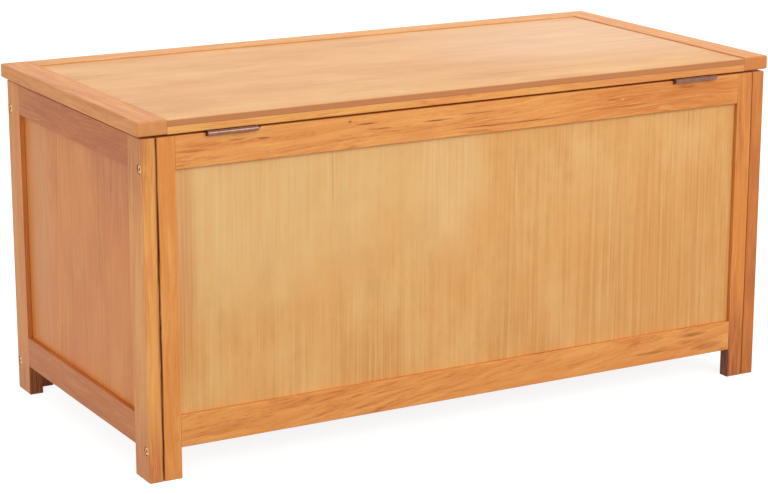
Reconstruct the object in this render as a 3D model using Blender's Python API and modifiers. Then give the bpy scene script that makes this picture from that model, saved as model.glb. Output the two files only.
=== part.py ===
"""Oak storage box: four bolted panel frames on legs, a grooved-in floor and a lid on two butt hinges.

Metres, +Z up. The lid opens at the front, towards -Y, and its hinges are at the rear, towards +Y.
The origin is under the middle of the whole box, on the floor.
"""

import bpy
from math import cos, pi
from mathutils import Matrix, Vector

# Overall sizes
LID_LENGTH = 1.050
LID_DEPTH = 0.510
LID_THICKNESS = 0.021
LID_GAP = 0.003
BODY_HEIGHT = 0.484
END_OVERHANG = 0.006
FRONT_OVERHANG = 0.010

# Frames of the body
SIDE_THICKNESS = 0.021
LONG_THICKNESS = 0.019
SIDE_STILE_WIDTH = 0.047
LONG_STILE_WIDTH = 0.027
RAIL_HEIGHT = 0.046
FOOT_HEIGHT = 0.045
PANEL_THICKNESS = 0.006
GROOVE_DEPTH = 0.008
TENON_SHOULDER = 0.005

# Floor of the box
FLOOR_THICKNESS = 0.009
FLOOR_LIFT = 0.010
FLOOR_GROOVE_DEPTH = 0.006

# Boards of the lid
LID_BOARD_WIDTH = 0.044
HINGE_RAIL_WIDTH = 0.050
TOP_PANEL_THICKNESS = 0.0085
TOP_PANEL_SUNK = 0.0015
TONGUE_THICKNESS = 0.004
TONGUE_LENGTH = 0.007
TONGUE_STOP = 0.010
LID_TENON_LENGTH = 0.012
FRONT_TENON_THICKNESS = 0.007
HINGE_TENON_THICKNESS = 0.004
LID_TENON_SHOULDER = 0.008

# Hinges
HINGE_LENGTH = 0.076
HINGE_INSET = 0.095
KNUCKLES = 5
BARREL_RADIUS = 0.0035
PIN_RADIUS = 0.0015
LEAF_THICKNESS = 0.002
LEAF_DEPTH = 0.014
AXIS_BEHIND = 0.004
AXIS_BELOW = 0.0005
MORTISE_END = 0.0005
MORTISE_FLARE = 0.008
MORTISE_OPEN = 0.001
WEB_STEP = 0.0002

# Fixings
SCREWS_PER_LEAF = 3
SCREW_SPACING = 0.027
SCREW_HEAD_RADIUS = 0.0033
SCREW_RADIUS = 0.0016
FIXED_SCREW_LENGTH = 0.018
LID_SCREW_LENGTH = 0.010
BOLT_FROM_TOP = 0.042
BOLT_FROM_FLOOR = 0.045
BOLT_HEAD_RADIUS = 0.0063
BOLT_HEAD_HEIGHT = 0.003
BOLT_HEAD_INSET = 0.0005
BOLT_HEAD_ROOM = 0.0006
BOLT_RADIUS = 0.003
BOLT_GRIP = 0.011
SOCKET_WIDTH = 0.005
SOCKET_DEPTH = 0.0025
INSERT_RADIUS = 0.005
INSERT_LENGTH = 0.013
INSERT_SINK = 0.0005

# Clearances and edges
FIT = 0.0003
BOLTED_GAP = 0.0008
ARRIS = 0.0008
LID_EDGE_RADIUS = 0.0025
PAST = 0.010
ROUND_SIDES = 24
SMALL_SIDES = 16

# Places worked out from the sizes
HEIGHT = BODY_HEIGHT + LID_GAP + LID_THICKNESS
BARREL_PAST_LID = AXIS_BEHIND + BARREL_RADIUS
REAR = (LID_DEPTH - BARREL_PAST_LID) / 2
LID_FRONT = REAR - LID_DEPTH
FRONT = LID_FRONT + FRONT_OVERHANG
BODY_MIDDLE = (FRONT + REAR) / 2
BODY_DEPTH = REAR - FRONT
BODY_LENGTH = LID_LENGTH - 2 * END_OVERHANG
LONG_FRAME_LENGTH = BODY_LENGTH - 2 * SIDE_THICKNESS - 2 * BOLTED_GAP
BOTTOM_RAIL_TOP = FOOT_HEIGHT + RAIL_HEIGHT
TOP_RAIL_BOTTOM = BODY_HEIGHT - RAIL_HEIGHT
FLOOR_BOTTOM = FOOT_HEIGHT + FLOOR_LIFT
LID_BOTTOM = BODY_HEIGHT + LID_GAP
TOP_PANEL_TOP = HEIGHT - TOP_PANEL_SUNK
TOP_PANEL_BOTTOM = TOP_PANEL_TOP - TOP_PANEL_THICKNESS
AXIS = Vector((0, REAR + AXIS_BEHIND, BODY_HEIGHT - AXIS_BELOW))
HINGE_X = BODY_LENGTH / 2 - HINGE_INSET - HINGE_LENGTH / 2

# Colours: linear red, green, blue; roughness; metallic
FINISHES = {
    "oak_frame": ((0.72, 0.32, 0.10), 0.42, 0.0),
    "oak_panel": ((0.73, 0.42, 0.16), 0.40, 0.0),
    "oak_top": ((0.80, 0.50, 0.28), 0.36, 0.0),
    "plywood_floor": ((0.66, 0.44, 0.22), 0.60, 0.0),
    "bronze_hinge": ((0.28, 0.15, 0.11), 0.35, 1.0),
    "brass_fixing": ((0.62, 0.40, 0.18), 0.30, 1.0),
}


def clear_scene():
    for obj in list(bpy.data.objects):
        bpy.data.objects.remove(obj, do_unlink=True)


def new_collection(name):
    collection = bpy.data.collections.new(name)
    bpy.context.scene.collection.children.link(collection)
    return collection


def make_materials():
    made = {}
    for name, (colour, roughness, metallic) in FINISHES.items():
        material = bpy.data.materials.new(name)
        material.use_nodes = True
        shader = material.node_tree.nodes["Principled BSDF"]
        shader.inputs["Base Color"].default_value = (*colour, 1.0)
        shader.inputs["Roughness"].default_value = roughness
        shader.inputs["Metallic"].default_value = metallic
        material.diffuse_color = (*colour, 1.0)
        made[name] = material
    return made


clear_scene()
PARTS = new_collection("storage_box")
CUTTERS = new_collection("cutters")
MATERIALS = make_materials()


def into(collection, obj):
    """Moves an object that an operator made into one collection."""
    for old in list(obj.users_collection):
        old.objects.unlink(obj)
    collection.objects.link(obj)
    return obj


def box(name, low, high, collection=PARTS):
    """A box between two corners, with its origin at its middle and its size in its mesh."""
    low, high = Vector(low), Vector(high)
    bpy.ops.mesh.primitive_cube_add(size=1, location=(low + high) / 2)
    obj = into(collection, bpy.context.object)
    obj.name = name
    obj.data.name = name
    obj.data.transform(Matrix.Diagonal((*(high - low), 1)))
    return obj


def cylinder(name, radius, start, end, sides=ROUND_SIDES, end_radius=None, collection=PARTS):
    """A round bar or cone from one point to another."""
    start, end = Vector(start), Vector(end)
    top = radius if end_radius is None else end_radius
    bpy.ops.mesh.primitive_cone_add(
        vertices=sides, radius1=radius, radius2=top, depth=(end - start).length, location=(start + end) / 2
    )
    obj = into(collection, bpy.context.object)
    obj.name = name
    obj.data.name = name
    obj.rotation_euler = (end - start).to_track_quat("Z", "Y").to_euler()
    return obj


def as_cutter(obj):
    obj.hide_render = True
    obj.display_type = "WIRE"
    return obj


def cutter_box(name, low, high):
    return as_cutter(box(name, low, high, CUTTERS))


def cutter_bar(name, radius, start, end, sides=SMALL_SIDES, end_radius=None):
    return as_cutter(cylinder(name, radius, start, end, sides, end_radius, CUTTERS))


def boolean(obj, tool, operation):
    modifier = obj.modifiers.new(f"{operation.lower()} {tool.name}", "BOOLEAN")
    modifier.operation = operation
    modifier.solver = "EXACT"
    modifier.object = tool
    return obj


def cut(obj, tool):
    return boolean(obj, tool, "DIFFERENCE")


def join(obj, tool):
    return boolean(obj, as_cutter(tool), "UNION")


def ease_edges(obj, chosen, width, segments=1):
    """Bevels the edges that a test of their middle chooses. The test gets -1 to 1 across the box on each axis."""
    mesh = obj.data
    half = Vector([max(abs(v.co[i]) for v in mesh.vertices) for i in range(3)])
    weights = mesh.attributes.new("bevel_weight_edge", "FLOAT", "EDGE")
    for edge in mesh.edges:
        middle = (mesh.vertices[edge.vertices[0]].co + mesh.vertices[edge.vertices[1]].co) / 2
        place = Vector([middle[i] / half[i] for i in range(3)])
        weights.data[edge.index].value = 1.0 if chosen(place) else 0.0
    modifier = obj.modifiers.new("eased edges", "BEVEL")
    modifier.limit_method = "WEIGHT"
    modifier.width = width
    modifier.segments = segments
    return obj


def along_x(place):
    return abs(place.x) < 0.5


def finish(obj, material, body=None, round_piece=False):
    """Gives a piece its material and, on the lid, its parent on the hinge line."""
    obj.data.materials.clear()
    obj.data.materials.append(MATERIALS[material])
    if round_piece:
        obj.data.shade_smooth()
        obj.data.set_sharp_from_angle(angle=pi / 6)
    if body:
        obj.parent = body
        obj.matrix_parent_inverse = body.matrix_world.inverted()
    return obj


# Body frames. Each is made facing +Y about the origin of its own plan, then turned and moved to its side.


def place_frame(pieces, turn, distance):
    """Turns pieces made with their outer face on y = 0 and sets that face at a distance out from the body's middle."""
    spin = Matrix.Rotation(turn, 4, "Z")
    moved = Matrix.Translation((0, BODY_MIDDLE, 0)) @ spin @ Matrix.Translation((0, distance, 0))
    for piece in pieces:
        piece.matrix_world = moved @ piece.matrix_world


def make_frame(prefix, ends, length, thickness, stile_width, turn, distance):
    """Two stiles that run down to the floor, two rails and a thin panel in a groove round the opening."""
    half = length / 2
    inner = half - stile_width
    middle = -thickness / 2
    panel_front = middle + PANEL_THICKNESS / 2
    panel_back = middle - PANEL_THICKNESS / 2
    made, tools = {}, []

    groove = cutter_box(
        f"{prefix}_groove",
        (-inner - GROOVE_DEPTH - FIT, panel_back - FIT, BOTTOM_RAIL_TOP - GROOVE_DEPTH - FIT),
        (inner + GROOVE_DEPTH + FIT, panel_front + FIT, TOP_RAIL_BOTTOM + GROOVE_DEPTH + FIT),
    )
    tools.append(groove)

    tenon_zones = {
        "bottom": (FOOT_HEIGHT + TENON_SHOULDER, BOTTOM_RAIL_TOP - GROOVE_DEPTH - TENON_SHOULDER),
        "top": (TOP_RAIL_BOTTOM + GROOVE_DEPTH + TENON_SHOULDER, BODY_HEIGHT - TENON_SHOULDER),
    }
    mortises = {}
    for level, (low, high) in tenon_zones.items():
        mortises[level] = cutter_box(
            f"{prefix}_{level}_mortise",
            (-inner - GROOVE_DEPTH - FIT, panel_back - FIT, low - FIT),
            (inner + GROOVE_DEPTH + FIT, panel_front + FIT, high + FIT),
        )
        tools.append(mortises[level])

    for name, side in zip(ends, (-1, 1)):
        low_x, high_x = sorted((side * inner, side * half))
        stile = box(f"{prefix}_{name}_stile", (low_x, -thickness, 0), (high_x, 0, BODY_HEIGHT))
        ease_edges(stile, lambda place, side=side: place.x * side > -0.5, ARRIS)
        cut(stile, groove)
        for tool in mortises.values():
            cut(stile, tool)
        made[name] = stile

    rails = {"bottom": (FOOT_HEIGHT, BOTTOM_RAIL_TOP), "top": (TOP_RAIL_BOTTOM, BODY_HEIGHT)}
    for level, (low, high) in rails.items():
        rail = box(f"{prefix}_{level}_rail", (-inner + FIT, -thickness, low), (inner - FIT, 0, high))
        ease_edges(rail, along_x, ARRIS)
        cut(rail, groove)
        tenon_low, tenon_high = tenon_zones[level]
        tenon = box(
            f"{prefix}_{level}_tenon",
            (-inner - GROOVE_DEPTH, panel_back, tenon_low),
            (inner + GROOVE_DEPTH, panel_front, tenon_high),
            CUTTERS,
        )
        join(rail, tenon)
        tools.append(tenon)
        made[level] = rail

    made["panel"] = box(
        f"{prefix}_panel",
        (-inner - GROOVE_DEPTH + FIT, panel_back, BOTTOM_RAIL_TOP - GROOVE_DEPTH),
        (inner + GROOVE_DEPTH - FIT, panel_front, TOP_RAIL_BOTTOM + GROOVE_DEPTH),
    )
    place_frame([*made.values(), *tools], turn, distance)
    for key, piece in made.items():
        finish(piece, "oak_panel" if key == "panel" else "oak_frame")
    return made


def make_body():
    half_depth = BODY_DEPTH / 2
    half_length = BODY_LENGTH / 2
    long_sizes = (LONG_FRAME_LENGTH, LONG_THICKNESS, LONG_STILE_WIDTH)
    side_sizes = (BODY_DEPTH, SIDE_THICKNESS, SIDE_STILE_WIDTH)
    return {
        "rear": make_frame("rear", ("left", "right"), *long_sizes, 0, half_depth),
        "front": make_frame("front", ("right", "left"), *long_sizes, pi, half_depth),
        "left": make_frame("side_left", ("front", "rear"), *side_sizes, pi / 2, half_length),
        "right": make_frame("side_right", ("rear", "front"), *side_sizes, -pi / 2, half_length),
    }


def make_floor(frames):
    """A panel let into a groove run round the inside of all four frames."""
    inside_x = BODY_LENGTH / 2 - SIDE_THICKNESS
    inside_y = BODY_DEPTH / 2 - LONG_THICKNESS
    reach_x = inside_x + FLOOR_GROOVE_DEPTH
    reach_y = inside_y + FLOOR_GROOVE_DEPTH
    low = Vector((-reach_x, BODY_MIDDLE - reach_y, FLOOR_BOTTOM))
    high = Vector((reach_x, BODY_MIDDLE + reach_y, FLOOR_BOTTOM + FLOOR_THICKNESS))
    room = Vector((FIT, FIT, FIT))
    groove = cutter_box("floor_groove", low - room, high + room)
    for frame in frames.values():
        for key, piece in frame.items():
            if key not in ("top", "panel"):
                cut(piece, groove)
    finish(box("floor_panel", low, high), "plywood_floor")


def turned(name, profile, place, direction, sides):
    """A round solid: a profile of (radius, distance along the direction) pairs, top first, turned by a Screw."""
    mesh = bpy.data.meshes.new(name)
    points = [(radius, 0, height) for radius, height in profile]
    mesh.from_pydata(points, [(i, i + 1) for i in range(len(points) - 1)], [])
    obj = bpy.data.objects.new(name, mesh)
    PARTS.objects.link(obj)
    modifier = obj.modifiers.new("turned", "SCREW")
    modifier.steps = sides
    modifier.render_steps = sides
    modifier.use_merge_vertices = True
    modifier.merge_threshold = 0.00001
    modifier.use_smooth_shade = True
    obj.location = place
    obj.rotation_euler = Vector(direction).to_track_quat("Z", "Y").to_euler()
    return obj


def make_bolts(frames):
    """Connector bolts through the side stiles, each into a threaded insert in a long frame's stile."""
    shank = SIDE_THICKNESS - BOLT_HEAD_INSET - BOLT_HEAD_HEIGHT + BOLT_GRIP
    heights = {"upper": BODY_HEIGHT - BOLT_FROM_TOP, "lower": BOLT_FROM_FLOOR}
    for side_name, side in (("left", -1), ("right", 1)):
        for long_name, long_side in (("front", -1), ("rear", 1)):
            y = BODY_MIDDLE + long_side * (BODY_DEPTH / 2 - LONG_THICKNESS / 2)
            side_stile = frames[side_name][long_name]
            long_stile = frames[long_name][side_name]
            for level, z in heights.items():
                make_bolt(f"{side_name}_{long_name}_{level}", side, y, z, shank, side_stile, long_stile)


def make_bolt(label, side, y, z, shank, side_stile, long_stile):
    face = side * BODY_LENGTH / 2
    joint = side * (BODY_LENGTH / 2 - SIDE_THICKNESS - BOLTED_GAP)
    seat = face - side * (BOLT_HEAD_INSET + BOLT_HEAD_HEIGHT)
    outward = (side, 0, 0)

    bolt = turned(
        f"bolt_{label}",
        [
            (0, BOLT_HEAD_HEIGHT),
            (BOLT_HEAD_RADIUS - ARRIS, BOLT_HEAD_HEIGHT),
            (BOLT_HEAD_RADIUS, BOLT_HEAD_HEIGHT - ARRIS),
            (BOLT_HEAD_RADIUS, 0),
            (BOLT_RADIUS, 0),
            (BOLT_RADIUS, -shank),
            (0, -shank),
        ],
        (seat, y, z),
        outward,
        ROUND_SIDES,
    )
    socket_floor = face - side * (BOLT_HEAD_INSET + SOCKET_DEPTH)
    socket = cutter_bar(
        f"socket_{label}", SOCKET_WIDTH / 2 / cos(pi / 6), (socket_floor, y, z), (face + side * PAST, y, z), 6
    )
    cut(bolt, socket)
    finish(bolt, "brass_fixing")

    counterbore = cutter_bar(
        f"counterbore_{label}",
        BOLT_HEAD_RADIUS + BOLT_HEAD_ROOM,
        (seat - side * FIT, y, z),
        (face + side * PAST, y, z),
        ROUND_SIDES,
    )
    hole = cutter_bar(f"bolt_hole_{label}", BOLT_RADIUS + FIT, (joint, y, z), (face, y, z))
    cut(side_stile, counterbore)
    cut(side_stile, hole)

    insert_outer = joint - side * INSERT_SINK
    insert_inner = insert_outer - side * INSERT_LENGTH
    insert = cylinder(f"insert_{label}", INSERT_RADIUS, (insert_inner, y, z), (insert_outer, y, z), SMALL_SIDES)
    bore = cutter_bar(
        f"insert_bore_{label}",
        BOLT_RADIUS + FIT,
        (insert_inner - side * PAST, y, z),
        (insert_outer + side * PAST, y, z),
    )
    cut(insert, bore)
    finish(insert, "brass_fixing", round_piece=True)
    insert_hole = cutter_bar(
        f"insert_hole_{label}",
        INSERT_RADIUS + FIT,
        (insert_inner - side * FIT, y, z),
        (joint + side * FIT, y, z),
    )
    cut(long_stile, insert_hole)


# Lid


def make_lid(pivot):
    half = LID_LENGTH / 2
    inner = half - LID_BOARD_WIDTH
    rail_back = LID_FRONT + LID_BOARD_WIDTH
    tongue_low = TOP_PANEL_BOTTOM + (TOP_PANEL_THICKNESS - TONGUE_THICKNESS) / 2
    tongue_corners = (
        Vector((-inner - TONGUE_LENGTH, rail_back - TONGUE_LENGTH, tongue_low)),
        Vector((inner + TONGUE_LENGTH, REAR - TONGUE_STOP, tongue_low + TONGUE_THICKNESS)),
    )
    room = Vector((FIT, FIT, FIT))
    tongue_groove = cutter_box("tongue_groove", tongue_corners[0] - room, tongue_corners[1] + room)

    front_tenon_low = LID_BOTTOM + (LID_THICKNESS - FRONT_TENON_THICKNESS) / 2
    front_tenon = (
        Vector((-inner - LID_TENON_LENGTH, LID_FRONT + LID_TENON_SHOULDER, front_tenon_low)),
        Vector(
            (
                inner + LID_TENON_LENGTH,
                rail_back - TONGUE_LENGTH - TENON_SHOULDER,
                front_tenon_low + FRONT_TENON_THICKNESS,
            )
        ),
    )
    hinge_rail_top = TOP_PANEL_BOTTOM - FIT
    hinge_tenon_low = LID_BOTTOM + (hinge_rail_top - LID_BOTTOM - HINGE_TENON_THICKNESS) / 2
    hinge_tenon = (
        Vector((-inner - LID_TENON_LENGTH, REAR - HINGE_RAIL_WIDTH + LID_TENON_SHOULDER, hinge_tenon_low)),
        Vector((inner + LID_TENON_LENGTH, REAR - LID_TENON_SHOULDER, hinge_tenon_low + HINGE_TENON_THICKNESS)),
    )
    front_mortise = cutter_box("lid_front_mortise", front_tenon[0] - room, front_tenon[1] + room)
    hinge_mortise = cutter_box("lid_hinge_mortise", hinge_tenon[0] - room, hinge_tenon[1] + room)

    for name, side in (("left", -1), ("right", 1)):
        low_x, high_x = sorted((side * inner, side * half))
        board = box(f"lid_{name}_board", (low_x, LID_FRONT, LID_BOTTOM), (high_x, REAR, HEIGHT))
        ease_edges(board, lambda place, side=side: place.x * side > -0.5, LID_EDGE_RADIUS, 3)
        for tool in (tongue_groove, front_mortise, hinge_mortise):
            cut(board, tool)
        finish(board, "oak_frame", pivot)

    front_rail = box(
        "lid_front_rail", (-inner + FIT, LID_FRONT, LID_BOTTOM), (inner - FIT, rail_back, HEIGHT)
    )
    ease_edges(front_rail, lambda place: along_x(place) and place.y < 0, LID_EDGE_RADIUS, 3)
    cut(front_rail, tongue_groove)
    join(front_rail, box("lid_front_tenon", *front_tenon, CUTTERS))
    finish(front_rail, "oak_frame", pivot)

    hinge_rail = box(
        "lid_hinge_rail",
        (-inner + FIT, REAR - HINGE_RAIL_WIDTH, LID_BOTTOM),
        (inner - FIT, REAR, hinge_rail_top),
    )
    ease_edges(hinge_rail, lambda place: along_x(place) and place.z < 0, ARRIS)
    join(hinge_rail, box("lid_hinge_tenon", *hinge_tenon, CUTTERS))
    finish(hinge_rail, "oak_frame", pivot)

    panel = box(
        "lid_panel", (-inner + FIT, rail_back + FIT, TOP_PANEL_BOTTOM), (inner - FIT, REAR, TOP_PANEL_TOP)
    )
    ease_edges(panel, lambda place: along_x(place) and place.y > 0.5 and place.z > 0.5, ARRIS)
    join(panel, box("lid_panel_tongue", *tongue_corners, CUTTERS))
    finish(panel, "oak_top", pivot)
    return hinge_rail


# Hinges


def knuckle_zones(x, remainder):
    """The stretches of the barrel that belong to one leaf: the even knuckles or the odd ones."""
    pitch = HINGE_LENGTH / KNUCKLES
    start = x - HINGE_LENGTH / 2
    return [
        (start + i * pitch + FIT / 2, start + (i + 1) * pitch - FIT / 2)
        for i in range(KNUCKLES)
        if i % 2 == remainder
    ]


def make_leaf(name, x, plate_low, remainder, material):
    """A plate with its own knuckles, cut away round the other leaf's, bored for the pin."""
    y, z = AXIS.y, AXIS.z
    leaf = box(
        name,
        (x - HINGE_LENGTH / 2, REAR - LEAF_DEPTH, plate_low),
        (x + HINGE_LENGTH / 2, y, plate_low + LEAF_THICKNESS),
    )
    for i, (low, high) in enumerate(knuckle_zones(x, 1 - remainder)):
        notch = cutter_box(
            f"{name}_notch_{i}",
            (low - FIT - WEB_STEP, y - BARREL_RADIUS - FIT, z - BARREL_RADIUS - PAST),
            (high + FIT + WEB_STEP, y + PAST, z + BARREL_RADIUS + PAST),
        )
        cut(leaf, notch)
    for i, (low, high) in enumerate(knuckle_zones(x, remainder)):
        knuckle = cylinder(
            f"{name}_knuckle_{i}", BARREL_RADIUS, (low, y, z), (high, y, z), ROUND_SIDES, collection=CUTTERS
        )
        join(leaf, knuckle)
    bore = cutter_bar(
        f"{name}_bore",
        PIN_RADIUS + FIT,
        (x - HINGE_LENGTH / 2 - PAST, y, z),
        (x + HINGE_LENGTH / 2 + PAST, y, z),
    )
    cut(leaf, bore)
    return finish(leaf, material)


def screw_places(x):
    middle = (SCREWS_PER_LEAF - 1) / 2
    return [x + (i - middle) * SCREW_SPACING for i in range(SCREWS_PER_LEAF)]


def make_screws(label, leaf, wood, x, head_z, up, length, pivot=None):
    """Countersunk screws through a leaf into the wood, heads flush with the plate's open side."""
    y = REAR - LEAF_DEPTH / 2
    for number, screw_x in enumerate(screw_places(x), 1):
        head = Vector((screw_x, y, head_z))
        drive = Vector((0, 0, up))
        tip = head + drive * length
        sunk = head + drive * LEAF_THICKNESS
        name = f"{label}_screw_{number}"
        screw = turned(
            name,
            [
                (0, 0),
                (SCREW_HEAD_RADIUS, 0),
                (SCREW_RADIUS, -LEAF_THICKNESS),
                (SCREW_RADIUS, -(length - 2 * SCREW_RADIUS)),
                (0, -length),
            ],
            head,
            -drive,
            SMALL_SIDES,
        )
        finish(screw, "bronze_hinge", pivot)
        sink = cutter_bar(
            f"{name}_sink", SCREW_HEAD_RADIUS + FIT, head, sunk, SMALL_SIDES, SCREW_RADIUS + FIT
        )
        mouth = cutter_bar(f"{name}_mouth", SCREW_HEAD_RADIUS + FIT, head - drive * PAST, head + drive * FIT)
        hole = cutter_bar(f"{name}_hole", SCREW_RADIUS + FIT, head, tip + drive * FIT)
        cut(leaf, sink)
        cut(leaf, mouth)
        cut(leaf, hole)
        cut(wood, hole)


def leaf_recess(name, x, z_plate, z_open, flare):
    """A mortise for a leaf, open at the rear, with its left end wall flared towards the gap."""
    tool = cutter_box(
        name,
        (x - HINGE_LENGTH / 2 - MORTISE_END, REAR - LEAF_DEPTH - FIT, min(z_plate, z_open)),
        (x + HINGE_LENGTH / 2 + MORTISE_END, REAR + PAST, max(z_plate, z_open)),
    )
    for vertex in tool.data.vertices:
        if vertex.co.x < 0 and (vertex.co.z > 0) == (z_open > z_plate):
            vertex.co.x -= flare
    return tool


def make_hinge(label, x, rear_rail, hinge_rail, pivot):
    fixed_low = AXIS.z - BARREL_RADIUS
    lid_low = AXIS.z + BARREL_RADIUS - LEAF_THICKNESS
    fixed = make_leaf(f"hinge_{label}_fixed_leaf", x, fixed_low, 0, "bronze_hinge")
    moving = make_leaf(f"hinge_{label}_lid_leaf", x, lid_low, 1, "bronze_hinge")
    moving.parent = pivot
    moving.matrix_parent_inverse = pivot.matrix_world.inverted()

    rail_mortise = leaf_recess(
        f"{label}_rail_mortise", x, fixed_low - FIT, BODY_HEIGHT + MORTISE_OPEN, MORTISE_FLARE
    )
    lid_mortise = leaf_recess(
        f"{label}_lid_mortise", x, AXIS.z + BARREL_RADIUS + FIT, LID_BOTTOM - MORTISE_OPEN, 0
    )
    cut(rear_rail, rail_mortise)
    cut(hinge_rail, lid_mortise)

    make_screws(
        f"hinge_{label}_fixed", fixed, rear_rail, x, fixed_low + LEAF_THICKNESS, -1, FIXED_SCREW_LENGTH
    )
    make_screws(f"hinge_{label}_lid", moving, hinge_rail, x, lid_low, 1, LID_SCREW_LENGTH, pivot)

    reach = HINGE_LENGTH / 2 + FIT
    pin = cylinder(
        f"hinge_{label}_pin", PIN_RADIUS, (x - reach, AXIS.y, AXIS.z), (x + reach, AXIS.y, AXIS.z), SMALL_SIDES
    )
    finish(pin, "bronze_hinge", round_piece=True)


def main():
    pivot = bpy.data.objects.new("lid_pivot", None)
    pivot.location = AXIS
    PARTS.objects.link(pivot)
    bpy.context.view_layer.update()

    frames = make_body()
    make_floor(frames)
    make_bolts(frames)
    hinge_rail = make_lid(pivot)
    for label, side in (("left", -1), ("right", 1)):
        make_hinge(label, side * HINGE_X, frames["rear"]["top"], hinge_rail, pivot)


main()
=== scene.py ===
"""Looks of an oak storage box: lacquered boards, veneered panels, bronzed hinges, yellow bolts."""

import random
from math import cos, pi, radians, sin

import bpy
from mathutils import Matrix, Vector


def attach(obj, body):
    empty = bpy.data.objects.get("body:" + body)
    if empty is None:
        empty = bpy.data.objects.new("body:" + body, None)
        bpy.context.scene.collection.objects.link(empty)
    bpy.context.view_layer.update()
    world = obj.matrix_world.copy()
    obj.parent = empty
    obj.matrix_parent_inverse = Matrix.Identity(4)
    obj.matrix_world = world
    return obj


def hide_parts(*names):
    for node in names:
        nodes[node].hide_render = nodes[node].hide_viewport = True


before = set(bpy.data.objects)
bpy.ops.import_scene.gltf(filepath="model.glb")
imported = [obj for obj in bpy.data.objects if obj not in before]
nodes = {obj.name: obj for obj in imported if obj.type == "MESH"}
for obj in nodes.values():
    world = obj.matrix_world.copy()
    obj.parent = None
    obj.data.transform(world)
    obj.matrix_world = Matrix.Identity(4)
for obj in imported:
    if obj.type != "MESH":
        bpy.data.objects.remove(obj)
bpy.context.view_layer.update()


def linear(code):
    """An sRGB hex colour as linear red, green, blue and a full alpha."""
    shares = [int(code[i : i + 2], 16) / 255 for i in (1, 3, 5)]
    bare = [s / 12.92 if s <= 0.04045 else ((s + 0.055) / 1.055) ** 2.4 for s in shares]
    return (*bare, 1.0)


def node(tree, kind, inputs=(), stops=(), **settings):
    """Adds a node with its settings and a colour ramp's stops.

    Inputs are keyed by socket name or number, and hold a value or another node's output.
    """
    made = tree.nodes.new(kind)
    for name, value in settings.items():
        setattr(made, name, value)
    for place, (at, colour) in enumerate(stops):
        ramp = made.color_ramp.elements
        stop = ramp[place] if place < 2 else ramp.new(at)
        stop.position = at
        stop.color = colour
    for socket, value in dict(inputs).items():
        if isinstance(value, bpy.types.NodeSocket):
            tree.links.new(value, made.inputs[socket])
        else:
            made.inputs[socket].default_value = value
    return made


def new_material(name):
    material = bpy.data.materials.new(name)
    material.use_nodes = True
    material.node_tree.nodes.clear()
    return material, material.node_tree


def paint(name, material):
    for slot in nodes[name].material_slots:
        slot.material = material


# Wood. One pattern serves every board: growth rings round a pith line that lies outside the board,
# so that a face shows arches where it is flat sawn, straight lines where it is quarter sawn and
# arcs on its end grain. Lengths are millimetres.
#
# Besides its colours a look gives the width of a year and how strongly the years show, how far the
# rings wander, and layers of marks. A layer is how far its marks run along the grain, how wide they
# are, how much fine detail they hold, between which noise levels they fade in, and how much they
# darken the wood. Drift is where the wood turns from its own hue to the warm one, and patch is
# where the dark streaks gather.

# Solid oak, planed and sanded, stained honey and sprayed with satin lacquer. The eye sees
# orange-brown streaks where the open pores of each year's early wood took up the stain, on a
# lighter and smoother late wood. Real pores are 0.2 to 0.4 mm wide. They are drawn 1.2 mm wide so
# that they show.
SOLID = {
    "pale": "#efae5e",
    "mid": "#df914a",
    "deep": "#b8662c",
    "pore": "#9a5222",
    "warm": "#de8638",
    "base": 0.38,
    "ring_mm": 7.0,
    "rings": 0.20,
    "warp_mm": 14.0,
    "fibre": (90, 2.0, 4, 0.25, 0.75, 0.34),
    "cloud": (150, 14, 3, 0.25, 0.75, 0.42),
    "drift": (220, 30, 2, 0.3, 0.7),
    "patch": (90, 12, 2, 0.48, 0.66),
    "streak": (38, 2.4, 4, 0.46, 0.64, 0.50),
    "pores": (11, 1.2, 2, 0.56, 0.70, 0.45),
    "roughness": 0.45,
}

# Sliced oak veneer on a plywood panel, sanded flat and lacquered satin: paler and yellower than the
# boards, with fine straight lines two or three millimetres apart and soft clouds where the slice
# met the figure. Its pores too are drawn wider than they are, 1.4 mm.
VENEER = {
    "pale": "#ecc586",
    "mid": "#e0ab67",
    "deep": "#b98044",
    "pore": "#a8733a",
    "warm": "#dd9850",
    "base": 0.50,
    "ring_mm": 11.0,
    "rings": 0.06,
    "warp_mm": 3.0,
    "fibre": (260, 3.2, 3, 0.25, 0.75, 0.25),
    "cloud": (60, 30, 6, 0.25, 0.75, 0.25),
    "drift": (150, 90, 4, 0.32, 0.68),
    "patch": (260, 60, 2, 0.40, 0.70),
    "streak": (240, 2.6, 2, 0.54, 0.74, 0.14),
    "pores": (22, 1.4, 2, 0.58, 0.74, 0.16),
    "roughness": 0.42,
}

# The side panels were sliced from redder wood.
SIDE_VENEER = {
    **VENEER,
    "pale": "#eca259",
    "mid": "#df8b38",
    "deep": "#bd6220",
    "warm": "#de7b31",
    "ring_mm": 6.0,
    "rings": 0.26,
    "cloud": (200, 60, 4, 0.25, 0.75, 0.34),
}

# The top was sliced from wood with broad drifting clouds.
TOP_VENEER = {
    **VENEER,
    "pale": "#edb670",
    "mid": "#e0a25a",
    "deep": "#c98342",
    "warm": "#e19a55",
    "base": 0.4,
    "fibre": (240, 4.0, 3, 0.25, 0.75, 0.24),
    "streak": (260, 9.0, 3, 0.48, 0.75, 0.45),
    "cloud": (170, 60, 6, 0.25, 0.75, 0.70),
}

MM_PER_METRE = 1000
# Degrees that bring each grain to the pattern's X, which runs along the pith.
TURNS = {"X": (0, 0, 0), "Y": (0, 0, -90), "Z": (0, 90, 0)}
# The rings wander over these lengths, along the trunk and across it.
WANDER_MM = (240, 45, 45)
# Wide and narrow years change places this often in a year, and shift the rings by so many years.
SPELL_PER_YEAR = 0.23
SPELL_YEARS = 5.0
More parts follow.
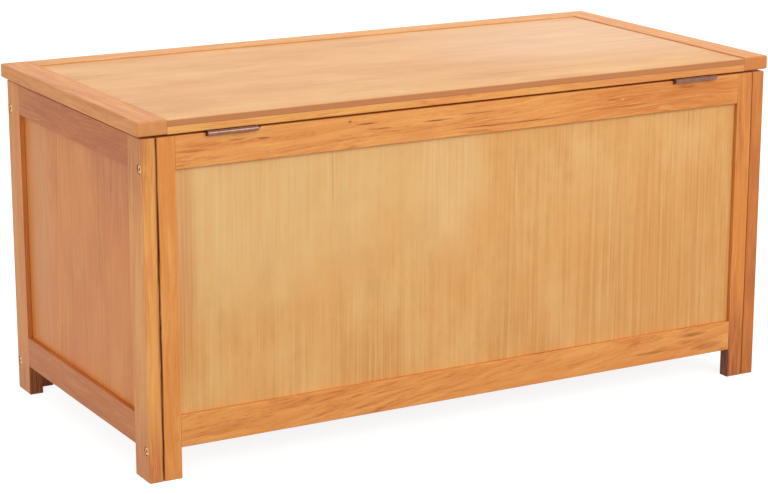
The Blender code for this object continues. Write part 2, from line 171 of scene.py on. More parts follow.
# How open the wood is through a year: it starts dark and open, ends pale and dense, and shades
# into the next year.
OPENNESS = ((0.0, 0.6), (0.14, 1.0), (0.5, 0.3), (0.92, 0.0), (1.0, 0.6))
OPENNESS_MEAN = 0.4
# How much of a layer's fine detail stays beside its coarse forms.
LAYER_ROUGHNESS = 0.6
# The share of the pores that late wood keeps.
LATE_PORES = 0.2
# A mark fades in between these shares of its size. It breaks up along the fibres by so much, over
# a least share that is the same all through.
MARK_RIM, MARK_CORE = 1.0, 0.3
MARK_BREAK, MARK_LEAST = 1.5, 0.25
# Cut ends drink the stain and turn darker: its colour there and its share.
END_STAIN = ("#cf8a52", 0.65)
# Painted shade darkens the joints and corners: it starts where less than the open share of the
# light comes in, and is full where less than the shut share does.
CORNER_SHADE_COLOUR = "#6b2c10"
JOINT_REACH_M = 0.002
JOINT_OPEN, JOINT_SHUT = 0.75, 0.3
# Pores are duller than the satin lacquer round them, and sink below the fibres.
PORE_DULLNESS = 0.25
RELIEF = {"Strength": 0.2, "Distance": 0.0002}
LACQUER = {"IOR": 1.5, "Specular IOR Level": 0.35}


def wood(
    name,
    look,
    grain,
    pith,
    slope=(0, 0),
    tone=0.0,
    blush=0.45,
    calm=1.0,
    edge=None,
    corner_shade=0.6,
    marks=(),
):
    """Lacquered wood cut from its own plank.

    Pith is where its rings centre, and slope is the run-out in degrees. Tone darkens it, blush
    turns its drifts warm, and calm is how much of its streaks and pores shows. Edge is the axis,
    colour and share of a cut edge, and corner_shade is how dark the painted shade lies in its
    corners and joints. Each of the marks is a knot, a lone streak, a darker or paler part, or a
    patch of painted shade or painted highlight: its middle and half sizes in millimetres, its
    colour and its share.
    """
    material, tree = new_material(name)
    place = node(tree, "ShaderNodeTexCoord").outputs
    turn = list(TURNS[grain])
    turn[0 if grain == "Y" else 1] += slope[0]
    turn[2] += slope[1]
    board = node(
        tree,
        "ShaderNodeMapping",
        {
            "Vector": place["Object"],
            "Location": pith,
            "Rotation": [radians(a) for a in turn],
            "Scale": [MM_PER_METRE] * 3,
        },
    ).outputs[0]

    # The rings wander along the trunk.
    slow = node(
        tree, "ShaderNodeMapping", {"Vector": board, "Scale": [1 / size for size in WANDER_MM]}
    ).outputs[0]
    wander = node(
        tree, "ShaderNodeTexNoise", {"Vector": slow, "Scale": 1.0, "Detail": 2.0}
    ).outputs["Color"]
    centred = node(
        tree, "ShaderNodeVectorMath", {0: wander, 1: (0.5, 0.5, 0.5)}, operation="SUBTRACT"
    ).outputs[0]
    swing = look["warp_mm"] * 2
    push = node(
        tree, "ShaderNodeVectorMath", {0: centred, 1: (0, swing, swing)}, operation="MULTIPLY"
    ).outputs[0]
    bent = node(tree, "ShaderNodeVectorMath", {0: board, 1: push}, operation="ADD").outputs[0]
    across = node(
        tree, "ShaderNodeVectorMath", {0: bent, 1: (0, 1, 1)}, operation="MULTIPLY"
    ).outputs[0]
    reach = node(tree, "ShaderNodeVectorMath", {0: across}, operation="LENGTH").outputs["Value"]

    # Wide and narrow years follow each other.
    years = node(
        tree, "ShaderNodeMath", {0: reach, 1: 1 / look["ring_mm"]}, operation="MULTIPLY"
    ).outputs[0]
    spells = node(
        tree,
        "ShaderNodeTexNoise",
        {"W": years, "Scale": SPELL_PER_YEAR, "Detail": 1.0},
        noise_dimensions="1D",
    ).outputs["Fac"]
    uneven = node(
        tree, "ShaderNodeMath", {0: spells, 1: SPELL_YEARS, 2: years}, operation="MULTIPLY_ADD"
    ).outputs[0]
    year = node(tree, "ShaderNodeMath", {0: uneven}, operation="FRACT").outputs[0]
    stops = [(at, (grey, grey, grey, 1)) for at, grey in OPENNESS]
    early = node(tree, "ShaderNodeValToRGB", {"Fac": year}, stops).outputs["Color"]

    found = {}
    for label in ("fibre", "cloud", "drift", "patch", "streak", "pores"):
        along, wide, detail, low, high = look[label][:5]
        stretch = node(
            tree, "ShaderNodeMapping", {"Vector": bent, "Scale": (1 / along, 1 / wide, 1 / wide)}
        ).outputs[0]
        levels = node(
            tree,
            "ShaderNodeTexNoise",
            {"Vector": stretch, "Scale": 1.0, "Detail": detail, "Roughness": LAYER_ROUGHNESS},
        ).outputs["Fac"]
        found[label] = node(
            tree,
            "ShaderNodeMapRange",
            {"Value": levels, "From Min": low, "From Max": high},
            interpolation_type="SMOOTHSTEP",
        ).outputs[0]
    found["streak"] = node(
        tree, "ShaderNodeMath", {0: found["streak"], 1: found["patch"]}, operation="MULTIPLY"
    ).outputs[0]

    # Fibres, clouds and rings go both ways from the middle tone, and streaks only darken.
    middle = look["base"] + tone - (look["fibre"][-1] + look["cloud"][-1]) / 2
    middle -= OPENNESS_MEAN * look["rings"]
    depth = node(
        tree, "ShaderNodeMath", {0: early, 1: look["rings"], 2: middle}, operation="MULTIPLY_ADD"
    ).outputs[0]
    for label, amount in (("fibre", 1.0), ("cloud", 1.0), ("streak", calm)):
        depth = node(
            tree,
            "ShaderNodeMath",
            {0: found[label], 1: look[label][-1] * amount, 2: depth},
            operation="MULTIPLY_ADD",
        ).outputs[0]
    tones = [(at, linear(look[tint])) for at, tint in ((0.0, "pale"), (0.5, "mid"), (1.0, "deep"))]
    colour = node(tree, "ShaderNodeValToRGB", {"Fac": depth}, tones).outputs["Color"]

    # What lies over that colour, from below: how much of it shows, and its own colour.
    flush = node(tree, "ShaderNodeMath", {0: found["drift"], 1: blush}, operation="MULTIPLY")
    coats = [(flush.outputs[0], look["warm"])]

    # Pores crowd in the early wood.
    crowd = node(
        tree,
        "ShaderNodeMath",
        {0: early, 1: 1 - LATE_PORES, 2: LATE_PORES},
        operation="MULTIPLY_ADD",
    ).outputs[0]
    pores = node(
        tree, "ShaderNodeMath", {0: found["pores"], 1: crowd}, operation="MULTIPLY"
    ).outputs[0]
    share = node(
        tree, "ShaderNodeMath", {0: pores, 1: look["pores"][-1] * calm}, operation="MULTIPLY"
    ).outputs[0]
    coats.append((share, look["pore"]))

    # A mark breaks up along the fibres.
    broken = node(
        tree,
        "ShaderNodeMath",
        {0: found["fibre"], 1: MARK_BREAK, 2: MARK_LEAST},
        operation="MULTIPLY_ADD",
    ).outputs[0]
    # Marks are knots, streaks and tone, and also patches of painted shade and painted highlight.
    for centre, half, overlay_colour, share in marks:
        local = node(
            tree,
            "ShaderNodeMapping",
            {
                "Vector": place["Object"],
                "Location": [-c / h for c, h in zip(centre, half)],
                "Scale": [MM_PER_METRE / h for h in half],
            },
        ).outputs[0]
        far = node(tree, "ShaderNodeVectorMath", {0: local}, operation="LENGTH").outputs["Value"]
        near = node(
            tree,
            "ShaderNodeMapRange",
            {"Value": far, "From Min": MARK_RIM, "From Max": MARK_CORE, "To Max": share},
            interpolation_type="SMOOTHSTEP",
        ).outputs[0]
        near = node(
            tree, "ShaderNodeMath", {0: near, 1: broken}, operation="MULTIPLY", use_clamp=True
        ).outputs[0]
        coats.append((near, overlay_colour))

    axis, overlay_colour, share = edge or (grain, *END_STAIN)
    facing = node(tree, "ShaderNodeSeparateXYZ", {0: place["Normal"]}).outputs["XYZ".index(axis)]
    square = node(tree, "ShaderNodeMath", {0: facing, 1: facing}, operation="MULTIPLY").outputs[0]
    ends = node(tree, "ShaderNodeMath", {0: square, 1: share}, operation="MULTIPLY").outputs[0]
    coats.append((ends, overlay_colour))

    # Painted shade: corners and joints, where little light comes in, turn dark.
    light = node(
        tree, "ShaderNodeAmbientOcclusion", {"Distance": JOINT_REACH_M}, samples=12
    ).outputs["AO"]
    painted_corner_shade = node(
        tree,
        "ShaderNodeMapRange",
        {"Value": light, "From Min": JOINT_OPEN, "From Max": JOINT_SHUT, "To Max": corner_shade},
    ).outputs[0]
    coats.append((painted_corner_shade, CORNER_SHADE_COLOUR))

    for share, overlay_colour in coats:
        colour = node(
            tree, "ShaderNodeMix", {0: share, 6: colour, 7: linear(overlay_colour)}, data_type="RGBA"
        ).outputs[2]

    rough = node(
        tree,
        "ShaderNodeMath",
        {0: pores, 1: PORE_DULLNESS, 2: look["roughness"]},
        operation="MULTIPLY_ADD",
    ).outputs[0]
    relief = node(
        tree, "ShaderNodeMath", {0: pores, 1: -1.0, 2: found["fibre"]}, operation="MULTIPLY_ADD"
    ).outputs[0]
    bump = node(tree, "ShaderNodeBump", {"Height": relief, **RELIEF}).outputs[0]
    shader = node(
        tree,
        "ShaderNodeBsdfPrincipled",
        {"Base Color": colour, "Roughness": rough, "Normal": bump, **LACQUER},
    )
    node(tree, "ShaderNodeOutputMaterial", {"Surface": shader.outputs[0]})
    return material


# Each frame's rails run along this axis, between stiles of these names.
FRAMES = {
    "front": ("X", ("left", "right")),
    "rear": ("X", ("left", "right")),
    "side_left": ("Y", ("front", "rear")),
    "side_right": ("Y", ("front", "rear")),
}
GRAINS = {}
for frame_name, (rail_grain, stiles) in FRAMES.items():
    for side in stiles:
        GRAINS[f"{frame_name}_{side}_stile"] = "Z"
    for level in ("top", "bottom"):
        GRAINS[f"{frame_name}_{level}_rail"] = rail_grain
GRAINS.update(lid_left_board="Y", lid_right_board="Y", lid_front_rail="X", lid_hinge_rail="X")

# Painted shade darkens the bolted seam, on both stiles.
SEAM_SHADE = ((498, 251, 242), (3.2, 20, 600), "#6a2a0a", 0.9)

# What the photographed boards show, over the chance of the other planks: their tone, pin knots with
# the pale swirl beside them, lone dark streaks and darker foot ends. Some marks are painted shade:
# the lid's shadow over the tops of the side boards, and the dark inner faces of the feet under the
# box.
PLANKS = {
    "side_right_rear_stile": {
        "tone": -0.10,
        "blush": 0.2,
        "calm": 0.1,
        "marks": (
            # Painted shadow of the lid's overhang on the stile's top.
            ((519, 225, 480), (30, 60, 130), "#b86a30", 0.6),
            ((515, 230, 10), (60, 60, 110), "#c0683c", 0.5),
            ((498, 260, 242), (9, 20, 700), "#b9682c", 0.5),
            SEAM_SHADE,
        ),
    },
    "side_right_front_stile": {
        "tone": 0.10,
        "blush": 0.3,
        "calm": 0.2,
        "marks": (
            # Painted shade on the foot's inner face, under the box.
            ((500, -200, 0), (60, 7, 70), "#8a4220", 0.9),
            ((515, -225, 0), (60, 60, 90), "#b5623a", 0.3),
        ),
    },
    "side_right_top_rail": {
        "tone": 0.60,
        "blush": 0.7,
        "calm": 0.1,
        # Painted shadow of the lid's overhang along the rail's top.
        "marks": (((519, 40, 462), (60, 360, 60), "#b35a1a", 0.5),),
    },
    "side_right_bottom_rail": {
        "tone": 0.50,
        "blush": 0.4,
        "calm": 0.2,
        "marks": (((519, 0, 70), (60, 420, 70), "#c06a22", 0.5),),
    },
    "lid_right_board": {"tone": 0.14, "blush": 0.2, "calm": 0.4},
    "lid_left_board": {
        "tone": 0.0,
        "blush": 0.2,
        "calm": 0.3,
        "edge": ("Y", "#c8763a", 0.75),
    },
    "lid_front_rail": {"tone": -0.10, "blush": 0.2, "calm": 0.3},
    "lid_hinge_rail": {
        "tone": -0.16,
        "blush": 0.3,
        "calm": 0.8,
        "marks": (((-420, 251, 492), (420, 20, 30), "#d98a48", 0.7),),
    },
    "rear_right_stile": {"tone": -0.02, "blush": 0.8, "calm": 0.5, "marks": (SEAM_SHADE,)},
    "rear_left_stile": {
        "tone": 0.22,
        "blush": 0.8,
        "calm": 0.5,
        "marks": (
            ((-490, 250, 0), (60, 60, 150), "#ac5a28", 0.75),
            # Painted shade on the foot's inner face, under the box.
            ((-470, 240, 20), (4, 40, 60), "#6a2c10", 0.8),
        ),
    },
    "side_left_rear_stile": {"tone": 0.58, "blush": 0.7, "calm": 0.4},
    # Painted shade on the front right foot's inner face, under the box.
    "front_right_stile": {"marks": (((485, -222, 0), (60, 18, 70), "#8a4220", 0.9),)},
    "rear_bottom_rail": {
        "tone": 0.02,
        "slope": (-6, 0.5),
        # Its corners take less painted shade.
        "corner_shade": 0.3,
        "marks": (
            ((-330, 251, 62), (60, 20, 3), "#96541f", 0.6),
            ((-400, 251, 80), (36, 20, 4), "#96541f", 0.6),
            ((-430, 251, 58), (40, 20, 8), "#b4642c", 0.6),
        ),
    },
    "rear_top_rail": {
        "slope": (-2.5, 0.5),
        "tone": -0.07,
        "blush": 0.3,
        "calm": 0.8,
        "marks": (
            ((378, 251, 470.5), (18, 6, 2.2), "#a03c14", 0.8),
            ((338, 251, 468), (13, 6, 2.0), "#a8441a", 0.8),
            ((432, 251, 468), (40, 6, 5.0), "#c46a28", 0.6),
            ((443, 251, 461), (34, 6, 3.0), "#bf5c22", 0.6),
            ((204, 251, 477), (5, 6, 2.2), "#7a3a18", 0.9),
            ((177, 251, 471.5), (22, 6, 1.6), "#8f4a1c", 0.9),
            ((155, 251, 462.5), (24, 6, 1.7), "#8f4a1c", 0.9),
            ((61, 251, 465), (32, 6, 1.5), "#96501e", 0.9),
            ((-3, 251, 469.5), (42, 6, 1.8), "#a85f28", 0.8),
            ((-58, 251, 449), (118, 6, 1.9), "#a25a24", 0.9),
            ((-252, 251, 454), (78, 6, 2.4), "#a8612a", 0.8),
            ((-240, 251, 466), (14, 6, 1.8), "#8a4218", 0.9),
            ((-257, 251, 465), (4, 6, 1.8), "#f6d09a", 0.9),
            ((-330, 251, 460), (240, 20, 50), "#c96f2c", 0.5),
            ((-375, 251, 474), (22, 6, 5.0), "#b4561f", 0.7),
        ),
    },
}
for board, grain in GRAINS.items():
    plank = random.Random(board)
    along, off = plank.uniform(0, 900), plank.uniform(40, 110)
    cut = {
        "pith": (along, off * plank.choice((-1, 1)), plank.uniform(-60, 60)),
        "slope": (plank.uniform(-1.2, 1.2), plank.uniform(-1.2, 1.2)),
        "tone": plank.uniform(-0.06, 0.06),
    }
    cut.update(PLANKS.get(board, {}))
    paint(board, wood(f"lacquered_oak_{board}", SOLID, grain, **cut))

# What the photographed panels show: the side panel was cut near its pith, so that its rings open in
# long arches, and each has its own paler and darker parts. Some of these parts are painted light:
# the lid's shadow on the side panel, and a reflection and a highlight on the rear panel.
PANELS = {
    "side_right": {
        "pith": (0, 105, 562),
        "slope": (3, 0),
        "calm": 0.4,
        "marks": (
            ((513, -165, 300), (30, 95, 260), "#dda468", 0.4),
            # Painted shadow of the lid's overhang, darker towards the upper rear.
            ((513, 160, 430), (30, 150, 130), "#b5602f", 0.4),
        ),
    },
    "rear": {
        "marks": (
            # Painted reflection, paler over the upper +X half.
            ((360, 245, 420), (380, 30, 260), "#e9c488", 0.42),
            ((-430, 245, 120), (420, 30, 360), "#d08c46", 0.4),
            ((-76, 245, 345), (1.8, 9, 65), "#f0cf96", 0.4),
            ((228, 245, 400), (1.5, 9, 60), "#a8763c", 0.4),
            # Painted highlight, paler in the upper middle.
            ((42, 245, 420), (90, 30, 230), "#f3d39c", 0.28),
            ((150, 245, 100), (90, 30, 130), "#c8843e", 0.3),
            ((-78, 245, 100), (80, 30, 130), "#c8843e", 0.3),
            ((456, 245, 320), (24, 30, 240), "#c87c44", 0.4),
        ),
    },
}
for name in FRAMES:
    leaf = random.Random(name)
    cut = {
        "pith": (leaf.uniform(0, 900), leaf.uniform(200, 400), leaf.uniform(300, 500)),
        "slope": (0.3, 0.2),
    }
    cut.update(PANELS.get(name, {}))
    look = SIDE_VENEER if name.startswith("side") else VENEER
    paint(f"{name}_panel", wood(f"oak_veneer_{name}_panel", look, "Z", **cut))
# The top's rear edge shows, stained brown like the cut it is.
TOP_LEAF = {
    "pith": (0, 300, 260),
    "slope": (0.4, 0.5),
    "edge": ("Y", "#b97444", 0.9),
    # A paler part at the top's -X end: a painted sheen.
    "marks": (((-380, -40, 500), (420, 260, 90), "#efcaa8", 0.4),),
}
paint("lid_panel", wood("oak_veneer_lid_panel", TOP_VENEER, "X", **TOP_LEAF))
# The floor is the same plywood as the panels, its grain along the box.
FLOOR_LEAF = {"pith": (0, 80, 60), "slope": (0.4, 0.5)}
paint("floor_panel", wood("oak_veneer_floor_panel", VENEER, "X", **FLOOR_LEAF))

# Metal. Wear makes it duller by up to the first share, and the second is the roughness of the clear
# lacquer over it.
WEAR_SWING = 0.15
COAT_ROUGHNESS = 0.15


def metal(name, colour, dull, roughness, mark_mm, lacquer):
    """Plated metal, rubbed unevenly: marks this many millimetres wide change its colour and shine.

    Lacquer is how much clear lacquer lies over it.
    """
    material, tree = new_material(name)
    place = node(tree, "ShaderNodeTexCoord").outputs
    patches = node(
        tree,
        "ShaderNodeTexNoise",
        {"Vector": place["Object"], "Scale": MM_PER_METRE / mark_mm, "Detail": 2.0},
    ).outputs["Fac"]
    tint = node(
        tree,
        "ShaderNodeMix",
        {0: patches, 6: linear(colour), 7: linear(dull)},
        data_type="RGBA",
    ).outputs[2]
    rough = node(
        tree, "ShaderNodeMath", {0: patches, 1: WEAR_SWING, 2: roughness}, operation="MULTIPLY_ADD"
    ).outputs[0]
    shader = node(
        tree,
        "ShaderNodeBsdfPrincipled",
        {
            "Base Color": tint,
            "Roughness": rough,
            "Metallic": 1.0,
            "Coat Weight": lacquer,
            "Coat Roughness": COAT_ROUGHNESS,
        },
    )
    node(tree, "ShaderNodeOutputMaterial", {"Surface": shader.outputs[0]})
    return material


# Rolled brass dipped to a brown bronze and lacquered clear: the eye sees dark brown metal with a
# pale pink shine along the barrel.
bronze = metal("bronzed_brass", "#8c604f", "#683e2d", 0.30, 24, 1.0)
# Zinc plate passivated yellow over steel: warm, bright and a little dull where fingers and tools
# touched it.
yellow_zinc = metal("yellow_zinc_plate", "#efc98a", "#c99a58", 0.25, 9, 0.0)
for name in nodes:
    if name.startswith("hinge_"):
        paint(name, bronze)
    elif name.startswith(("bolt_", "insert_")):
        paint(name, yellow_zinc)


# Fasteners. One tree turns an outline round its axis, sinks a recess in the head and drives one
# into every point.
SIZES = (
    "Head Radius",
    "Head Height",
    "Rim",
    "Shank Radius",
    "Taper",
    "Length",
    "Recess Width",
    "Recess Depth",
)
COUNTS = ("Sides", "Seed")
# A head's rim is rounded in this many steps.
RIM_STEPS = 4
# Points closer than this are one.
DOUBLES_M = 1e-6
# A cross recess has arms this share of its width.
CROSS_ARM = 0.22
# Edges that bend by more than this stay crisp.
SHARP = radians(35)


def fastener_tree(name, outline, recess, finish):
    """The outline runs from the middle of the head to the tip, in pairs of radius and depth.

    The depth is below the head's face, and each is zero or one of the tree's inputs. The recess is
    "hexagon" or "cross".
    """
    tree = bpy.data.node_groups.new(name, "GeometryNodeTree")
    tree.interface.new_socket("Points", in_out="INPUT", socket_type="NodeSocketGeometry")
    for labels, kind in ((SIZES, "NodeSocketFloat"), (COUNTS, "NodeSocketInt")):
        for label in labels:
            tree.interface.new_socket(label, in_out="INPUT", socket_type=kind)
    tree.interface.new_socket("Fasteners", in_out="OUTPUT", socket_type="NodeSocketGeometry")
    given = node(tree, "NodeGroupInput").outputs

    corner = node(tree, "GeometryNodeInputIndex").outputs[0]
    places = node(tree, "GeometryNodeIndexSwitch", {"Index": corner}, data_type="VECTOR")
    while len(places.index_switch_items) < len(outline):
        places.index_switch_items.new()
    for number, (radius, depth) in enumerate(outline):
        # The sweep's own circle has the shank's radius, so that is taken off.
        reach = node(
            tree,
            "ShaderNodeMath",
            {0: given[radius] if radius else 0.0, 1: given["Shank Radius"]},
            operation="SUBTRACT",
        ).outputs[0]
        point = node(tree, "ShaderNodeCombineXYZ", {0: reach, 1: given[depth] if depth else 0.0})
        tree.links.new(point.outputs[0], places.inputs[number + 1])
    row = node(tree, "GeometryNodeMeshLine", {"Count": len(outline)}).outputs[0]
    row = node(tree, "GeometryNodeMeshToCurve", {"Mesh": row}).outputs[0]
    row = node(
        tree, "GeometryNodeSetPosition", {"Geometry": row, "Position": places.outputs[0]}
    ).outputs[0]
    at_rim = node(
        tree, "FunctionNodeCompare", {2: corner, 3: 1}, data_type="INT", operation="EQUAL"
    ).outputs[0]
    rim = node(
        tree, "ShaderNodeMath", {0: at_rim, 1: given["Rim"]}, operation="MULTIPLY"
    ).outputs[0]
    row = node(
        tree,
        "GeometryNodeFilletCurve",
        {"Curve": row, "Count": RIM_STEPS, "Radius": rim},
        mode="POLY",
    ).outputs[0]
    path = node(
        tree,
        "GeometryNodeCurvePrimitiveCircle",
        {"Resolution": given["Sides"], "Radius": given["Shank Radius"]},
    ).outputs[0]
    blank = node(
        tree, "GeometryNodeCurveToMesh", {"Curve": path, "Profile Curve": row}
    ).outputs[0]
    blank = node(
        tree, "GeometryNodeMergeByDistance", {"Geometry": blank, "Distance": DOUBLES_M}
    ).outputs[0]

    width = given["Recess Width"]
    twice = node(
        tree, "ShaderNodeMath", {0: given["Recess Depth"], 1: 2.0}, operation="MULTIPLY"
    ).outputs[0]
    sunk = node(
        tree,
        "GeometryNodeMeshBoolean",
        {"Mesh 1": blank},
        operation="DIFFERENCE",
        solver="EXACT",
    )
    if recess == "hexagon":
        # A hexagon's corners lie 1 / (2 cos 30) of its width from its middle.
        reach = node(
            tree, "ShaderNodeMath", {0: width, 1: 0.5 / cos(pi / 6)}, operation="MULTIPLY"
        ).outputs[0]
        key = node(
            tree,
            "GeometryNodeMeshCylinder",
            {"Vertices": 6, "Radius": reach, "Depth": twice},
        )
        tree.links.new(key.outputs[0], sunk.inputs["Mesh 2"])
    else:
        arm = node(
            tree, "ShaderNodeMath", {0: width, 1: CROSS_ARM}, operation="MULTIPLY"
        ).outputs[0]
        for long_way, short_way in ((width, arm), (arm, width)):
            size = node(tree, "ShaderNodeCombineXYZ", {0: long_way, 1: short_way, 2: twice})
            bar = node(tree, "GeometryNodeMeshCube", {"Size": size.outputs[0]})
            tree.links.new(bar.outputs[0], sunk.inputs["Mesh 2"])
    solid = node(
        tree,
        "GeometryNodeMergeByDistance",
        {"Geometry": sunk.outputs[0], "Distance": DOUBLES_M},
    ).outputs[0]
    smooth = node(
        tree, "GeometryNodeSetShadeSmooth", {"Geometry": solid}, domain="FACE"
    ).outputs[0]
    bend = node(tree, "GeometryNodeInputMeshEdgeAngle").outputs[0]
    sharp = node(tree, "FunctionNodeCompare", {0: bend, 1: SHARP}, operation="GREATER_THAN")
    solid = node(
        tree,
        "GeometryNodeSetShadeSmooth",
        {"Geometry": smooth, "Selection": sharp.outputs[0], "Shade Smooth": False},
        domain="EDGE",
    ).outputs[0]

    # Each faces outwards, and stopped wherever its last turn left it.
    outward = node(
        tree, "GeometryNodeInputNamedAttribute", {"Name": "outward"}, data_type="FLOAT_VECTOR"
    ).outputs[0]
    aim = node(
        tree, "FunctionNodeAlignRotationToVector", {"Vector": outward}, axis="Z"
    ).outputs[0]
    clock = node(
        tree,
        "FunctionNodeRandomValue",
        {2: 0.0, 3: 2 * pi, 8: given["Seed"]},
        data_type="FLOAT",
    ).outputs[1]
    spin = node(
        tree, "FunctionNodeAxisAngleToRotation", {"Axis": (0, 0, 1), "Angle": clock}
    ).outputs[0]
    aim = node(
        tree,
        "FunctionNodeRotateRotation",
        {"Rotation": aim, "Rotate By": spin},
        rotation_space="LOCAL",
    ).outputs[0]
    driven = node(
        tree,
        "GeometryNodeInstanceOnPoints",
        {"Points": given["Points"], "Instance": solid, "Rotation": aim},
    ).outputs[0]
    real = node(tree, "GeometryNodeRealizeInstances", {"Geometry": driven}).outputs[0]
    real = node(
        tree, "GeometryNodeSetMaterial", {"Geometry": real, "Material": finish}
    ).outputs[0]
    node(tree, "NodeGroupOutput", {0: real})
    return tree


def drive(name, tree, points, outward, body, stands_for, sizes):
    """Drives the tree's fasteners into these points, as one plain mesh that rides on a body."""
    mesh = bpy.data.meshes.new(name)
    mesh.from_pydata(points, [], [])
    ways = mesh.attributes.new("outward", "FLOAT_VECTOR", "POINT").data
    ways.foreach_set("vector", sum(outward, ()))
    piece = bpy.data.objects.new(name, mesh)
    bpy.context.scene.collection.objects.link(piece)
    modifier = piece.modifiers.new(name, "NODES")
    modifier.node_group = tree
    for item in tree.interface.items_tree:
        if item.in_out == "INPUT" and item.name in sizes:
            modifier[item.identifier] = sizes[item.name]
    finished = piece.evaluated_get(bpy.context.evaluated_depsgraph_get())
    made = bpy.data.meshes.new_from_object(finished)
    piece.modifiers.remove(modifier)
    piece.data = made
    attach(piece, body)
    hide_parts(*stands_for)


# Connector bolts: two in each side stile, their heads just under the face. Lengths are metres.
BODY_END = 0.519
BODY_MIDDLE_Y = 0.00125
BOLT_FROM_MIDDLE = 0.2405
BOLT_LEVELS = {"upper": 0.442, "lower": 0.045}
BOLT_INSET = 0.0005
BOLT = {
    "Head Radius": 0.0063,
    "Head Height": 0.003,
    "Rim": 0.0012,
    "Shank Radius": 0.003,
    "Length": 0.0315,
    "Recess Width": 0.005,
    "Recess Depth": 0.0024,
    "Sides": 48,
    "Seed": 4,
}
BOLT_OUTLINE = (
    (0, 0),
    ("Head Radius", 0),
    ("Head Radius", "Head Height"),
    ("Shank Radius", "Head Height"),
    ("Shank Radius", "Length"),
    (0, "Length"),
)
places, ways, stand_ins = [], [], []
for end_name, end in (("left", -1), ("right", 1)):
    for long_name, long_side in (("front", -1), ("rear", 1)):
        for level, z in BOLT_LEVELS.items():
            y = BODY_MIDDLE_Y + long_side * BOLT_FROM_MIDDLE
            places.append((end * (BODY_END - BOLT_INSET), y, z))
            ways.append((float(end), 0.0, 0.0))
            stand_ins.append(f"bolt_{end_name}_{long_name}_{level}")
bolt_tree = fastener_tree("connector_bolt", BOLT_OUTLINE, "hexagon", yellow_zinc)
drive("connector_bolts", bolt_tree, places, ways, "box", stand_ins, BOLT)

# Countersunk screws: three through each leaf.
HINGE_MIDDLES = {"left": -0.386, "right": 0.386}
SCREW_SPACING = 0.027
SCREW_Y = 0.24425
SCREW_TIP = 0.0032
SCREW = {
    "Head Radius": 0.0033,
    "Head Height": 0.002,
    "Rim": 0.0002,
    "Shank Radius": 0.0016,
    "Recess Width": 0.0036,
    "Recess Depth": 0.0012,
    "Sides": 32,
}
SCREW_OUTLINE = (
    (0, 0),
    ("Head Radius", 0),
    ("Shank Radius", "Head Height"),
    ("Shank Radius", "Taper"),
    (0, "Length"),
)
# For each leaf: the body that its screws ride on, the height of their heads, the way those face
# and the screws' length.
LEAVES = {"fixed": ("box", 0.482, 1.0, 0.018), "lid": ("lid", 0.485, -1.0, 0.010)}
screw_tree = fastener_tree("countersunk_screw", SCREW_OUTLINE, "cross", bronze)
for seed, (leaf, (body, z, way, length)) in enumerate(LEAVES.items()):
    spots = [(hinge, x, number) for hinge, x in HINGE_MIDDLES.items() for number in (1, 2, 3)]
    places = [(x + (number - 2) * SCREW_SPACING, SCREW_Y, z) for hinge, x, number in spots]
    ways = [(0.0, 0.0, way)] * len(places)
    stand_ins = [f"hinge_{hinge}_{leaf}_screw_{number}" for hinge, x, number in spots]
    screw = {**SCREW, "Taper": length - SCREW_TIP, "Length": length, "Seed": seed}
    name = f"hinge_{leaf}_screws"
    drive(name, screw_tree, places, ways, body, stand_ins, screw)

# Floor, light and camera. The camera and the metal see white round the box, and what lights the box
# is softer. The floor is a grey that throws little light up at the box and keeps its shadow, lifted
# to white where it is looked at.
WHITE = (1, 1, 1, 1)
SKY_LIGHT = 0.735
FLOOR_GREY = (0.32, 0.32, 0.32, 1)
FLOOR_LIFT = 0.86
FLOOR_RADIUS = 6.0


def looked_at(tree):
    """One for a ray from the camera, a reflection or glass, and zero for light on the box."""
    rays = node(tree, "ShaderNodeLightPath").outputs
    seen = rays["Is Camera Ray"]
    for kind in ("Is Glossy Ray", "Is Transmission Ray"):
        seen = node(
            tree, "ShaderNodeMath", {0: seen, 1: rays[kind]}, operation="MAXIMUM"
        ).outputs[0]
    return seen


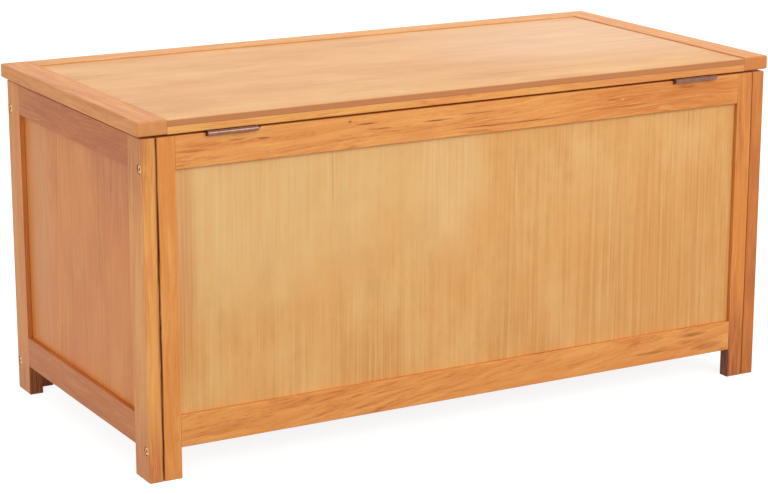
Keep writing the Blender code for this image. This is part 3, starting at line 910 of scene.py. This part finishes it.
world = bpy.data.worlds.new("studio")
bpy.context.scene.world = world
world.use_nodes = True
tree = world.node_tree
tree.nodes.clear()
soft = node(tree, "ShaderNodeBackground", {"Color": WHITE, "Strength": SKY_LIGHT}).outputs[0]
white = node(tree, "ShaderNodeBackground", {"Color": WHITE, "Strength": 1.0}).outputs[0]
both = node(tree, "ShaderNodeMixShader", {0: looked_at(tree), 1: soft, 2: white}).outputs[0]
node(tree, "ShaderNodeOutputWorld", {"Surface": both})

bpy.ops.mesh.primitive_circle_add(vertices=96, radius=FLOOR_RADIUS, fill_type="NGON")
floor = bpy.context.object
floor.name = "floor"
material, tree = new_material("white_studio_floor")
lift = node(
    tree, "ShaderNodeMath", {0: looked_at(tree), 1: FLOOR_LIFT}, operation="MULTIPLY"
).outputs[0]
paper = node(tree, "ShaderNodeBsdfDiffuse", {"Color": FLOOR_GREY}).outputs[0]
glow = node(tree, "ShaderNodeEmission", {"Color": WHITE, "Strength": lift}).outputs[0]
both = node(tree, "ShaderNodeAddShader", {0: paper, 1: glow}).outputs[0]
node(tree, "ShaderNodeOutputMaterial", {"Surface": both})
floor.data.materials.append(material)


def lamp(name, place, target, size, power):
    """A round soft lamp of this size in metres and power in watts, turned to its target."""
    light = bpy.data.lights.new(name, "AREA")
    light.shape = "DISK"
    light.size = size
    light.energy = power
    stand = bpy.data.objects.new(name, light)
    stand.location = place
    stand.rotation_euler = (Vector(target) - Vector(place)).to_track_quat("-Z", "Y").to_euler()
    bpy.context.scene.collection.objects.link(stand)
    return stand


lamp("key", (-0.9, 3.4, 2.0), (0, 0, 0.3), 2.4, 70)
lamp("side", (3.2, 0.3, 1.0), (0.5, 0, 0.3), 1.6, 15.5)
fill = lamp("fill", (-1.6, -2.6, 1.6), (0, 0, 0.3), 2.6, 45)
fill.visible_glossy = False

# The camera stands as the photograph's did, behind the box and a little above its lid.
AZIMUTH, ELEVATION = radians(150.639), radians(14.568)
CAMERA_PLACE = (1.7357, 3.0702, 1.131)
LENS_MM = 110.37
camera = bpy.data.objects.new("camera", bpy.data.cameras.new("camera"))
camera.data.lens = LENS_MM
camera.location = CAMERA_PLACE
back = (sin(AZIMUTH) * cos(ELEVATION), -cos(AZIMUTH) * cos(ELEVATION), sin(ELEVATION))
camera.rotation_euler = (-Vector(back)).to_track_quat("-Z", "Y").to_euler()
bpy.context.scene.collection.objects.link(camera)
bpy.context.scene.camera = camera
bpy.context.scene.view_settings.view_transform = "Standard"
